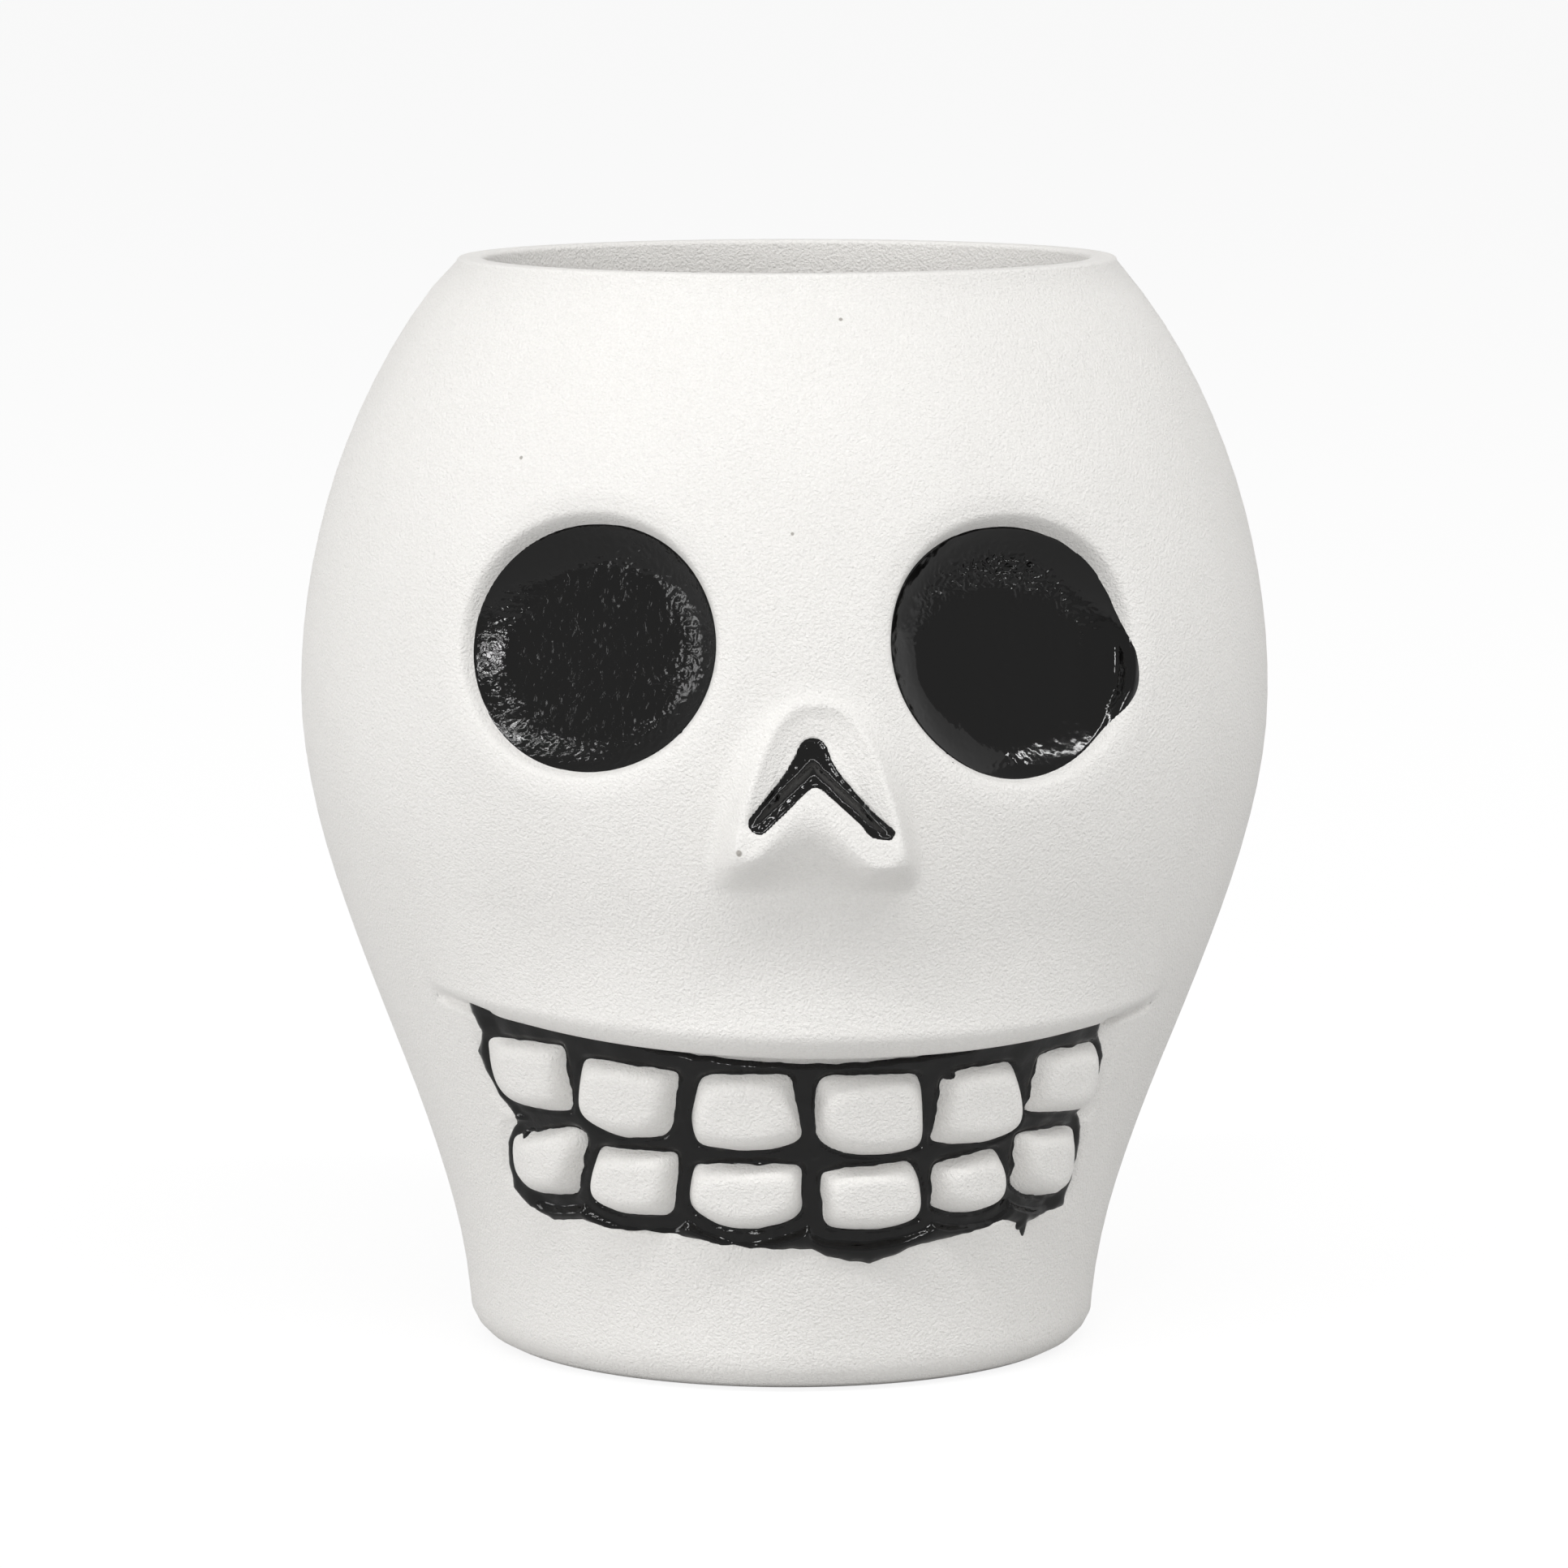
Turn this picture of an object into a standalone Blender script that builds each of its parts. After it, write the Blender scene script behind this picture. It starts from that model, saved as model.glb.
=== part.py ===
"""Skull-shaped tea light holder.

A hollow head, cast in one piece in matt white ceramic, open at its flat crown. Round eye sockets,
a blunt nose and two rows of pillow-shaped teeth are part of the casting. Thick gloss black enamel
lies in the sockets, in the nose and round the teeth. The face looks along -Y and +Z is up.
The origin is the middle of the flat base.
"""
import math

import bmesh
import bpy
from mathutils import Matrix, Vector

MM = 0.001

# Head, outside
WIDTH = 80 * MM
FRONT_DEPTH = 41.6 * MM
BACK_DEPTH = 40 * MM
BELLY_HEIGHT = 54 * MM
CROWN_ABOVE_BELLY = 36 * MM
CROWN_RADIUS = 26.8 * MM
BASE_RADIUS = 25.9 * MM
BASE_ROUND = 3.4 * MM

# Head, inside
FLOOR_THICKNESS = 7 * MM
FLOOR_ROUND = 1.5 * MM
JAW_WALL = 4.5 * MM
BELLY_WALL = 5.6 * MM
RIM_WALL = 1.9 * MM
RIM_ROUND = 0.4 * MM
RIM_TAPER = 16 * MM

# Eyes
EYE_DIAMETER = 19.6 * MM
EYE_ABOVE_BELLY = 7 * MM
LEFT_EYE_TURN = -28.6
RIGHT_EYE_TURN = 26.4
EYE_TILT = 12
SOCKET_DEPTH = 3.3 * MM
SOCKET_WALL = 0.5 * MM
SOCKET_DRAFT = 0.4 * MM
SOCKET_ROUND = 1.3 * MM

# Nose
NOSE_BELOW_BELLY = 8.8 * MM
NOSE_LENGTH = 12.2 * MM
NOSE_LOBE_SPREAD = 4.7 * MM
NOSE_LOBE_RADIUS = 2.5 * MM
NOSE_TOP_RADIUS = 2.4 * MM
NOSE_NOTCH = 1.7 * MM
NOSE_TOP_REACH = 0.7 * MM
NOSE_BOTTOM_REACH = 4.6 * MM
NOSE_EDGE = 0.8 * MM
NOSE_FLANK = 1.5 * MM
NOSE_UNDERSIDE = 4.2 * MM
NOSE_SHOULDER = 25
NOSE_LOBE_END = -110
NOSTRIL_DEPTH = 1.4 * MM
NOSTRIL_BORDER = 2.4 * MM
NOSTRIL_PEAK = 2.4 * MM
NOSTRIL_ARCH = 3.8 * MM
NOSTRIL_SPREAD = 5.5 * MM
NOSTRIL_FOOT = 1.8 * MM
NOSTRIL_LIFT = 2.3 * MM

# Upper jaw
LIP_GAP = 1.9 * MM
LIP_RISE = 1.2 * MM
LIP_REACH = 3 * MM
LIP_FLARE = 1.6
LIP_FULLNESS = 0.8
LIP_END = 5
UPPER_JAW_HEIGHT = 12 * MM

# Teeth, from the middle of the face to the corner of the mouth
UPPER_TOOTH_WIDTHS = (8.9 * MM, 8.6 * MM, 7.6 * MM)
LOWER_TOOTH_WIDTHS = (8.7 * MM, 7.6 * MM, 6.8 * MM)
UPPER_TOOTH_HEIGHT = 6.9 * MM
LOWER_TOOTH_HEIGHT = 6.1 * MM
TOOTH_GAP = 1.2 * MM
TOOTH_ROUND = 1.3 * MM
TOOTH_REACH = 1.5 * MM
BITE_HEIGHT = 20.2 * MM
SMILE_RISE = 2 * MM
SMILE_TURN = 45
MOUTH_DEPTH = 1.5 * MM
MOUTH_BORDER = 1.7 * MM
CHIN_CURVE = 0.7

# Enamel
ENAMEL_THICKNESS = 0.9 * MM
ENAMEL_EDGE = 0.3 * MM
CLEARANCE = 0.25 * MM

# Facets
HEAD_SEGMENTS = 64
EYE_SEGMENTS = 36
OUTSIDE_RINGS = 18
INSIDE_RINGS = 11
ARC_STEPS = 4
ROUND_STEPS = 3
LOBE_STEPS = 5
BEVEL_SEGMENTS = 2
TOOTH_COLUMNS = 2
MOUTH_COLUMNS = 20
MOUTH_ROWS = 2
JAW_ROWS = 5
SMOOTH_ANGLE = 40

OVERLAP = 1 * MM
SEAM_DEPTH = 0.25 * MM
HEIGHT = BELLY_HEIGHT + CROWN_ABOVE_BELLY
EYE_HEIGHT = BELLY_HEIGHT + EYE_ABOVE_BELLY
NOSE_BOTTOM = BELLY_HEIGHT - NOSE_BELOW_BELLY
NOSE_TOP = NOSE_BOTTOM + NOSE_LENGTH
LOWER_ROW_BOTTOM = BITE_HEIGHT - TOOTH_GAP / 2 - LOWER_TOOTH_HEIGHT
UPPER_ROW_BOTTOM = BITE_HEIGHT + TOOTH_GAP / 2
LIP_HEIGHT = UPPER_ROW_BOTTOM + UPPER_TOOTH_HEIGHT + LIP_GAP


def smooth_step(share):
    """Ease from 0 to 1 with a level start and end."""
    share = min(max(share, 0.0), 1.0)
    return share * share * (3 - 2 * share)


def head_radius(height):
    """Half width of the head: an S-shaped jaw below the belly and an oval dome above it."""
    belly = WIDTH / 2
    if height <= BELLY_HEIGHT:
        return BASE_RADIUS + (belly - BASE_RADIUS) * smooth_step(height / BELLY_HEIGHT)
    dome = CROWN_ABOVE_BELLY / math.sqrt(1 - (CROWN_RADIUS / belly) ** 2)
    return belly * math.sqrt(1 - ((height - BELLY_HEIGHT) / dome) ** 2)


def wall_thickness(height):
    """Thin at the rim, full at the belly and a little thinner in the jaw."""
    body = JAW_WALL + (BELLY_WALL - JAW_WALL) * smooth_step(height / BELLY_HEIGHT)
    near_rim = smooth_step((height - (HEIGHT - RIM_TAPER)) / RIM_TAPER)
    return body + (RIM_WALL - body) * near_rim


def oval(point):
    """Stretch a round section to the head's depth in front of its axis and behind it."""
    depth = FRONT_DEPTH if point.y < 0 else BACK_DEPTH
    return Vector((point.x, point.y * depth / (WIDTH / 2), point.z))


def on_head(turn, height, reach=0.0):
    """Point on the skin, turned from the middle of the face, moved outwards by reach."""
    angle = math.radians(turn)
    outward = Vector((math.sin(angle), -math.cos(angle), 0))
    skin = oval(outward * head_radius(height))
    return Vector((skin.x, skin.y, height)) + outward * reach


def arc(centre, radius, first, last, steps=ARC_STEPS):
    """Points on an arc, with its angles in degrees, in the plane of the first two coordinates."""
    points = []
    for step in range(steps + 1):
        angle = math.radians(first + (last - first) * step / steps)
        points.append((centre[0] + radius * math.cos(angle), centre[1] + radius * math.sin(angle)))
    return points


def finish(name, mesh_data, material):
    """Make an object from a bmesh, with outward faces and smooth shading up to the edge angle."""
    bmesh.ops.remove_doubles(mesh_data, verts=mesh_data.verts, dist=0.001 * MM)
    bmesh.ops.recalc_face_normals(mesh_data, faces=mesh_data.faces)
    mesh = bpy.data.meshes.new(name)
    mesh_data.to_mesh(mesh)
    mesh_data.free()
    mesh.shade_smooth()
    mesh.set_sharp_from_angle(angle=math.radians(SMOOTH_ANGLE))
    piece = bpy.data.objects.new(name, mesh)
    bpy.context.collection.objects.link(piece)
    if material:
        mesh.materials.append(material)
    else:
        piece.hide_render = True
        piece.display_type = "WIRE"
    return piece


def combine(piece, other, operation):
    """Add a Boolean to a piece."""
    modifier = piece.modifiers.new(f"{operation.lower()} {other.name}", "BOOLEAN")
    modifier.object = other
    modifier.operation = operation
    modifier.solver = "EXACT"


def turned(profile, segments):
    """Spin a profile of (radius, height) points round Z."""
    shape = bmesh.new()
    points = [shape.verts.new((radius, 0, height)) for radius, height in profile]
    edges = [shape.edges.new(pair) for pair in zip(points, points[1:])]
    bmesh.ops.spin(shape, geom=points + edges, axis=(0, 0, 1), cent=(0, 0, 0),
                   angle=math.tau, steps=segments)
    bmesh.ops.remove_doubles(shape, verts=shape.verts, dist=0.001 * MM)
    return shape


def wrapped_block(turns, low, high, inner, outer, columns, rows):
    """Block that follows the head: low, high, inner and outer are functions of its place."""
    shape = bmesh.new()
    grids = []
    for depth in (inner, outer):
        grid = []
        for column in range(columns + 1):
            turn = turns[0] + (turns[1] - turns[0]) * column / columns
            line = []
            for row in range(rows + 1):
                height = low(turn) + (high(turn) - low(turn)) * row / rows
                line.append(shape.verts.new(on_head(turn, height, depth(turn, height))))
            grid.append(line)
        grids.append(grid)
    for grid in grids:
        for column in range(columns):
            for row in range(rows):
                shape.faces.new((grid[column][row], grid[column + 1][row],
                                 grid[column + 1][row + 1], grid[column][row + 1]))
    rim = [edge for edge in shape.edges if len(edge.link_faces) == 1]
    bmesh.ops.bridge_loops(shape, edges=rim)
    return shape


def front_prism(outline, back, front):
    """Prism of an outline seen from the front, between two depths given as functions of height."""
    shape = bmesh.new()
    face = shape.faces.new([shape.verts.new((x, back(z), z)) for x, z in outline])
    grown = bmesh.ops.extrude_face_region(shape, geom=[face])["geom"]
    for item in grown:
        if isinstance(item, bmesh.types.BMVert):
            item.co.y = front(item.co.z)
    return shape


def ceramic():
    """Matt white slip-cast body."""
    return surface("matt_white_ceramic", (0.86, 0.85, 0.83), 0.75)


def enamel():
    """Thick gloss black enamel."""
    return surface("gloss_black_enamel", (0.012, 0.012, 0.012), 0.08)


def surface(name, colour, roughness):
    """Plain Principled material."""
    material = bpy.data.materials.new(name)
    material.use_nodes = True
    shader = material.node_tree.nodes["Principled BSDF"]
    shader.inputs["Base Color"].default_value = (*colour, 1)
    shader.inputs["Roughness"].default_value = roughness
    shader.inputs["Metallic"].default_value = 0
    return material


def head_profile():
    """Outline of the hollow head, from the middle of the base, round the rim, to the floor."""
    foot = head_radius(BASE_ROUND) - BASE_ROUND
    profile = [(0, 0)] + arc((foot, BASE_ROUND), BASE_ROUND, -90, 0)
    top = HEIGHT - RIM_ROUND
    for ring in range(1, OUTSIDE_RINGS + 1):
        height = BASE_ROUND + (top - BASE_ROUND) * ring / OUTSIDE_RINGS
        profile.append((head_radius(height), height))
    mouth = CROWN_RADIUS - RIM_WALL
    profile += arc((CROWN_RADIUS - RIM_ROUND, top), RIM_ROUND, 60, 90, 1)
    profile += arc((mouth + RIM_ROUND, top), RIM_ROUND, 90, 180, 2)
    floor_edge = FLOOR_THICKNESS + FLOOR_ROUND
    for ring in range(1, INSIDE_RINGS):
        height = top + (floor_edge - top) * ring / INSIDE_RINGS
        profile.append((head_radius(height) - wall_thickness(height), height))
    well = head_radius(floor_edge) - wall_thickness(floor_edge)
    profile += arc((well - FLOOR_ROUND, floor_edge), FLOOR_ROUND, 0, -90, ROUND_STEPS)
    profile.append((0, FLOOR_THICKNESS))
    return profile


def hollow_head():
    """The turned head, stretched to its depth."""
    shape = turned(head_profile(), HEAD_SEGMENTS)
    for point in shape.verts:
        point.co = oval(point.co)
    return shape


def eye_frame(turn):
    """Frame on the skin at an eye, with +Z out of the socket."""
    place = on_head(turn, EYE_HEIGHT)
    side = Matrix.Rotation(math.radians(turn), 4, "Z")
    lift = Matrix.Rotation(math.radians(90 - EYE_TILT), 4, "X")
    return Matrix.Translation(place) @ side @ lift


def socket_cutter(name, turn):
    """Shallow round pocket with a drafted wall and a rounded mouth."""
    floor = EYE_DIAMETER / 2
    edge = floor + SOCKET_DRAFT
    wall_top = SOCKET_WALL - SOCKET_DEPTH
    profile = [(0, -SOCKET_DEPTH), (floor, -SOCKET_DEPTH)]
    profile += arc((edge + SOCKET_ROUND, wall_top), SOCKET_ROUND, 180, 90, ROUND_STEPS)
    profile += [(edge + 2 * SOCKET_ROUND, OVERLAP), (0, OVERLAP)]
    shape = turned(profile, EYE_SEGMENTS)
    bmesh.ops.transform(shape, matrix=eye_frame(turn), verts=shape.verts)
    return finish(name, shape, None)


def eye_pool(name, turn, material):
    """Disc of enamel on the socket's floor."""
    radius = EYE_DIAMETER / 2 - CLEARANCE
    low = CLEARANCE - SOCKET_DEPTH
    high = low + ENAMEL_THICKNESS
    profile = [(0, low), (radius, low), (radius, high - ENAMEL_EDGE)]
    profile += [(radius - ENAMEL_EDGE, high), (0, high)]
    shape = turned(profile, EYE_SEGMENTS)
    bmesh.ops.transform(shape, matrix=eye_frame(turn), verts=shape.verts)
    return finish(name, shape, material)


def nose_front(height):
    """Depth of the nose's flat front, which leans out towards its lower edge."""
    top = on_head(0, NOSE_TOP, NOSE_TOP_REACH).y
    bottom = on_head(0, NOSE_BOTTOM, NOSE_BOTTOM_REACH).y
    return bottom + (top - bottom) * (height - NOSE_BOTTOM) / (NOSE_TOP - NOSE_BOTTOM)


def nose_outline():
    """Arch with a round top and two lobes, seen from the front."""
    top = (0, NOSE_TOP - NOSE_TOP_RADIUS)
    lobe = NOSE_BOTTOM + NOSE_LOBE_RADIUS
    outline = arc(top, NOSE_TOP_RADIUS, 180 - NOSE_SHOULDER, NOSE_SHOULDER)
    right = arc((NOSE_LOBE_SPREAD, lobe), NOSE_LOBE_RADIUS, NOSE_SHOULDER, NOSE_LOBE_END, LOBE_STEPS)
    left = [(-x, z) for x, z in reversed(right)]
    return outline + right + [(0, NOSE_BOTTOM + NOSE_NOTCH)] + left


def nose_block():
    """Wedge that stands out of the face, with sloping flanks and underside and rounded edges."""
    back = -FRONT_DEPTH + BELLY_WALL / 2
    shape = front_prism(nose_outline(), lambda height: back, nose_front)
    for point in shape.verts:
        if abs(point.co.y - back) < CLEARANCE:
            point.co.x += math.copysign(NOSE_FLANK, point.co.x) if abs(point.co.x) > CLEARANCE else 0
            point.co.z -= NOSE_UNDERSIDE * (NOSE_TOP - point.co.z) / NOSE_LENGTH
    front = max(shape.faces, key=lambda face: -face.calc_center_median().y)
    bmesh.ops.recalc_face_normals(shape, faces=shape.faces)
    bmesh.ops.bevel(shape, geom=list(front.edges), offset=NOSE_EDGE, segments=BEVEL_SEGMENTS,
                    affect="EDGES", profile=0.5)
    return finish("nose_block", shape, None)


def nostril_outline():
    """Upside-down V inside the nose, clockwise from its peak."""
    peak = NOSE_TOP - NOSTRIL_BORDER
    foot = NOSE_BOTTOM + NOSTRIL_LIFT
    right = [(NOSTRIL_PEAK / 2, peak), (NOSTRIL_SPREAD, foot), (NOSTRIL_SPREAD - NOSTRIL_FOOT, foot)]
    left = [(-x, z) for x, z in reversed(right)]
    return right + [(0, peak - NOSTRIL_ARCH)] + left


def shrunk(outline, distance):
    """Clockwise outline with every side moved inwards by a distance."""
    corners = [Vector(point) for point in outline]
    result = []
    for before, here, after in zip(corners[-1:] + corners, corners, corners[1:] + corners[:1]):
        first = (here - before).normalized()
        second = (after - here).normalized()
        inward = Vector((first.y + second.y, -first.x - second.x)).normalized()
        reach = distance / inward.dot(Vector((first.y, -first.x)))
        result.append(tuple(here + inward * reach))
    return result


def nostril_cutter():
    """Groove for the enamel in the nose."""
    shape = front_prism(nostril_outline(), lambda height: nose_front(height) + NOSTRIL_DEPTH,
                        lambda height: nose_front(height) - OVERLAP)
    return finish("nostril_cutter", shape, None)


def nostril_enamel(material):
    """Enamel in the nose's groove."""
    floor = NOSTRIL_DEPTH - CLEARANCE
    shape = front_prism(shrunk(nostril_outline(), CLEARANCE),
                        lambda height: nose_front(height) + floor,
                        lambda height: nose_front(height) + floor - ENAMEL_THICKNESS)
    return finish("nose_enamel", shape, material)


def lip_turn():
    """Turn at which the lip runs out, past the corner of the mouth."""
    return mouth_turn() + LIP_END


def lip_line(turn):
    """Height of the upper lip's edge."""
    return LIP_HEIGHT + LIP_RISE * (turn / SMILE_TURN) ** 2


def lip_reach(turn, height):
    """How far the upper jaw stands out: most at the lip's edge, nothing at the cheek."""
    top = LIP_HEIGHT + UPPER_JAW_HEIGHT
    down = (top - height) / (top - lip_line(turn))
    across = math.cos(math.radians(90 * min(1, abs(turn) / lip_turn())))
    return LIP_REACH * max(0.0, down) ** LIP_FLARE * across ** LIP_FULLNESS - SEAM_DEPTH


def upper_jaw():
    """Flare between the nose and the lip, which overhangs the upper teeth."""
    shape = wrapped_block((-lip_turn(), lip_turn()), lambda turn: lip_line(turn) - CLEARANCE,
                          lambda turn: LIP_HEIGHT + UPPER_JAW_HEIGHT,
                          lambda turn, height: -MOUTH_DEPTH - OVERLAP, lip_reach,
                          MOUTH_COLUMNS, JAW_ROWS)
    return finish("upper_jaw", shape, None)


def row_radius(height):
    """Mean radius of the jaw along a row of teeth."""
    return head_radius(height) * (1 + FRONT_DEPTH / (WIDTH / 2)) / 2


def smile(turn):
    """Rise of the teeth towards the corners of the mouth."""
    return SMILE_RISE * (turn / SMILE_TURN) ** 2


def tooth_places(widths, height):
    """Middle turn and half turn of each tooth in a row, left to right."""
    radius = row_radius(height)
    start = TOOTH_GAP / 2
    places = []
    for width in widths:
        middle = math.degrees((start + width / 2) / radius)
        half = math.degrees(width / 2 / radius)
        places += [(-middle, half), (middle, half)]
        start += width + TOOTH_GAP
    return sorted(places)


def rows():
    """Lower and upper row: tooth places, height of the row's bottom edge and of a tooth."""
    lower = tooth_places(LOWER_TOOTH_WIDTHS, LOWER_ROW_BOTTOM)
    upper = tooth_places(UPPER_TOOTH_WIDTHS, UPPER_ROW_BOTTOM)
    return ((lower, LOWER_ROW_BOTTOM, LOWER_TOOTH_HEIGHT),
            (upper, UPPER_ROW_BOTTOM, UPPER_TOOTH_HEIGHT))


def tooth(place, bottom, height, grow):
    """Pillow-shaped block on the jaw, made larger all round by grow."""
    middle, half = place
    slack = math.degrees(grow / row_radius(bottom))
    low = bottom + smile(middle) - grow
    high = low + height + 2 * grow
    shape = wrapped_block((middle - half - slack, middle + half + slack), lambda turn: low,
                          lambda turn: high, lambda turn, place: -MOUTH_DEPTH - OVERLAP,
                          lambda turn, place: TOOTH_REACH + grow, TOOTH_COLUMNS, 1)
    bmesh.ops.recalc_face_normals(shape, faces=shape.faces)
    centre = on_head(middle, (low + high) / 2)
    outward = Vector((centre.x, centre.y, 0)).normalized()
    front = (centre + outward * (TOOTH_REACH / 2)).dot(outward)
    rounded = [edge for edge in shape.edges
               if edge.calc_face_angle() > math.radians(SMOOTH_ANGLE)
               and max(point.co.dot(outward) for point in edge.verts) > front]
    bmesh.ops.bevel(shape, geom=rounded, offset=TOOTH_ROUND, segments=BEVEL_SEGMENTS,
                    affect="EDGES", profile=0.5, clamp_overlap=True)
    return shape


def teeth(name, grow):
    """All the teeth as one object."""
    every = bmesh.new()
    for places, bottom, height in rows():
        for place in places:
            block = tooth(place, bottom, height, grow)
            mesh = bpy.data.meshes.new("tooth")
            block.to_mesh(mesh)
            block.free()
            every.from_mesh(mesh)
            bpy.data.meshes.remove(mesh)
    return finish(name, every, None)


def mouth_turn():
    """Turn of the mouth's corner: past the last tooth by the border."""
    middle, half = tooth_places(UPPER_TOOTH_WIDTHS, UPPER_ROW_BOTTOM)[-1]
    return middle + half + math.degrees(MOUTH_BORDER / row_radius(UPPER_ROW_BOTTOM))


def mouth_low(turn):
    """Lower edge of the field round the teeth."""
    return LOWER_ROW_BOTTOM - MOUTH_BORDER + smile(turn) * CHIN_CURVE


def mouth_field(name, inset, low, high, material):
    """Curved field round the teeth, between two depths, made smaller all round by an inset."""
    turn = mouth_turn() - math.degrees(inset / row_radius(BITE_HEIGHT))
    shape = wrapped_block((-turn, turn), lambda turn: mouth_low(turn) + inset,
                          lambda turn: lip_line(turn) - 2 * inset,
                          lambda turn, height: low, lambda turn, height: high,
                          MOUTH_COLUMNS, MOUTH_ROWS)
    return finish(name, shape, material)


def build():
    """Clear the scene and make every piece."""
    for item in list(bpy.data.objects):
        bpy.data.objects.remove(item)
    white = ceramic()
    black = enamel()
    head = finish("skull_body", hollow_head(), white)
    combine(head, upper_jaw(), "UNION")
    combine(head, mouth_field("mouth_cutter", 0, -MOUTH_DEPTH, LIP_REACH + OVERLAP, None),
            "DIFFERENCE")
    combine(head, teeth("tooth_blocks", 0), "UNION")
    combine(head, nose_block(), "UNION")
    combine(head, nostril_cutter(), "DIFFERENCE")
    for side, turn in (("left", LEFT_EYE_TURN), ("right", RIGHT_EYE_TURN)):
        combine(head, socket_cutter(f"{side}_socket", turn), "DIFFERENCE")
        eye_pool(f"eye_enamel_{side}", turn, black)
    nostril_enamel(black)
    floor = CLEARANCE - MOUTH_DEPTH
    enamel_field = mouth_field("mouth_enamel", CLEARANCE, floor, floor + ENAMEL_THICKNESS, black)
    combine(enamel_field, teeth("tooth_clearance", CLEARANCE), "DIFFERENCE")


build()
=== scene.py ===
"""Looks of the skull-shaped tea light holder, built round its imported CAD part.

The head is one matt white casting. Thick gloss black enamel lies in its eye sockets, in its nose
and round its teeth. The face looks along -Y and the origin is the middle of the base.
Turns are in degrees from the middle of the face, positive towards +X.
"""

import math

import bmesh
import bpy
from mathutils import Matrix, Vector, noise


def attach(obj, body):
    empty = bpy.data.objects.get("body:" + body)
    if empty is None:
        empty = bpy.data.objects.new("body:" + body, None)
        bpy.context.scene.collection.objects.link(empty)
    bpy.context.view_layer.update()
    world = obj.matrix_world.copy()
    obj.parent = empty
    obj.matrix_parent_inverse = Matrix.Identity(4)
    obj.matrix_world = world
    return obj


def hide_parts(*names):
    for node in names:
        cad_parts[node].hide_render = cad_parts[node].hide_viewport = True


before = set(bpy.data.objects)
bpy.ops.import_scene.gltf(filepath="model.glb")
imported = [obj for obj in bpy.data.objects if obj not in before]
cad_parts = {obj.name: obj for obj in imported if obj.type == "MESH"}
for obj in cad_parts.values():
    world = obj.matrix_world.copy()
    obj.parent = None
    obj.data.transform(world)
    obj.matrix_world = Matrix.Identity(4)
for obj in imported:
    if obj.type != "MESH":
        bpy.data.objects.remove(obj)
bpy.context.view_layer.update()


# Camera: a long lens a little above the crown and slightly to the left of the face, at the
# photograph's angle. The picture is square. Lens and sensor are in millimetres, angles in degrees
# and the rest in metres.
SENSOR_WIDTH = 36.0
CAMERA_LENS = 166.08
CAMERA_DISTANCE = 0.596
CAMERA_HEIGHT = 0.121
CAMERA_TURN = 3.4
CAMERA_DIP = 7.174
CAMERA_ROLL = 0.3
CAMERA_NEAR = 0.05
CAMERA_FAR = 60.0

camera_data = bpy.data.cameras.new("camera")
camera_data.lens = CAMERA_LENS
camera_data.sensor_width = SENSOR_WIDTH
camera_data.clip_start = CAMERA_NEAR
camera_data.clip_end = CAMERA_FAR
camera = bpy.data.objects.new("camera", camera_data)
bpy.context.scene.collection.objects.link(camera)
camera.matrix_world = (
    Matrix.Rotation(math.radians(-CAMERA_TURN), 4, "Z")
    @ Matrix.Translation((0, -CAMERA_DISTANCE, CAMERA_HEIGHT))
    @ Matrix.Rotation(math.radians(90 - CAMERA_DIP), 4, "X")
    @ Matrix.Rotation(math.radians(CAMERA_ROLL), 4, "Z")
)
bpy.context.scene.camera = camera


# Cast body: a hollow head with a flat base, an open crown, eye sockets, a blunt nose, an upper
# lip and two rows of teeth. It is slip-cast in one piece in white ceramic, left matt and slightly
# sandy, with a few dark specks.
MM = 0.001
WIDTH = 80 * MM
FRONT_DEPTH = 41.6 * MM
BACK_DEPTH = 40 * MM
BELLY_HEIGHT = 54 * MM
HEIGHT = 90 * MM
CROWN_RADIUS = 26.8 * MM
BASE_RADIUS = 25.9 * MM
BASE_ROUND = 3.4 * MM
FLOOR_THICKNESS = 7 * MM
FLOOR_ROUND = 1.5 * MM
JAW_WALL = 4.5 * MM
BELLY_WALL = 5.6 * MM
RIM_WALL = 1.9 * MM
RIM_ROUND = 0.4 * MM
RIM_TAPER = 16 * MM
BORE_DEPTH = 4 * MM
RIM_DIP = 0.35 * MM
RIM_DIP_START = 80 * MM
HEAD_SEGMENTS = 96
OUTSIDE_RINGS = 34
INSIDE_RINGS = 20
ROUND_STEPS = 5
FACE_CUTS = 2
FEATURE_CUTS = 3
SOCKET_CUTS = 2
UNEVEN = 0.07 * MM
UNEVEN_DETAIL = 45
FINE_UNEVEN_DETAIL = 160
FINE_UNEVEN_SHARE = 0.35
SKIN_BAND = 0.9 * MM
MERGE_GAP = 0.001 * MM

# Places on the face from here on are (turn in degrees, height in millimetres)
# or, on the nose, (sideways, height) in millimetres. Reliefs are in millimetres too.
# DEGREE is the width of one degree at the mouth. A pair named START, END or WALL says where a
# smooth ramp begins and how wide it is. FINE_MOUTH and FINE_NOSE are (turn, lowest, highest) of
# the finest mesh. A nostril stroke's ends are (sideways, height, half width), and an eye's bulges
# are (direction clockwise from the top, share of its size, spread).
DEGREE = 0.53
FACE_TURN = 64
FACE_LOW = 5
FACE_HIGH = 79
FACE_SLACK = 2
FINE_MOUTH = (57, 10, 33.5)
FINE_NOSE = (15, 38, 60)
ROWS_START = (10, 10)
ROWS_END = (33, 8)
ROWS_SIDE_END = (54, 10)
LIP_HEIGHT = 28.7
LIP_RISE = 2.0
LIP_LEAN = 0.45
LIP_TURN = 54
LIP_FADE = 58
LIP_REACH = 3.2
LIP_FLARE = 1.9
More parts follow.
